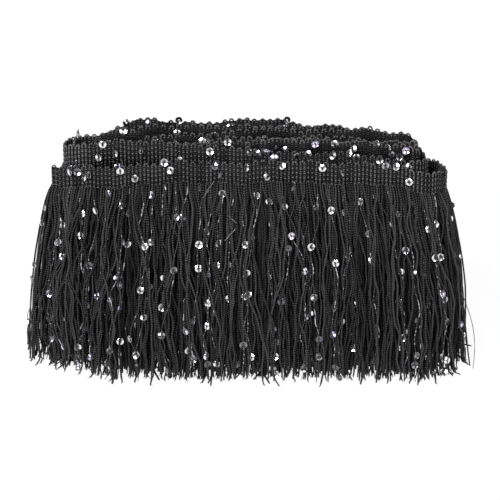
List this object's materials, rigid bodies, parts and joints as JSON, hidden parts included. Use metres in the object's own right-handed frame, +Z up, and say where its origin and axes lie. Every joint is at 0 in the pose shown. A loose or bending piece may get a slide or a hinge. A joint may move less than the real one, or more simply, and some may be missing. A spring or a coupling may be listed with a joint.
{
  "type": "sequin fringe trimming",
  "caption": "Wound length of black chainette fringe with a knitted heading and sequins, standing on its strands in a flat oval coil.",
  "frame": {"origin": "on the surface that the coil stands on, under the centre of its footprint", "axes": "+X along the rows of tape, +Z up from the strand ends to the heading, -Y towards the viewer and the cut end"},
  "size_m": [0.28, 0.0974, 0.1544],
  "materials": {
    "heading_knit": "black warp-knitted viscose band",
    "chainette": "black chainette yarn, soft sheen",
    "sequin_film": "clear silvered film, glossy"
  },
  "bodies": {
    "root": {"heading": "heading_knit", "front_fringe": "chainette", "back_fringe": "chainette", "wound_skirt": "chainette"}
  },
  "joints": []
}
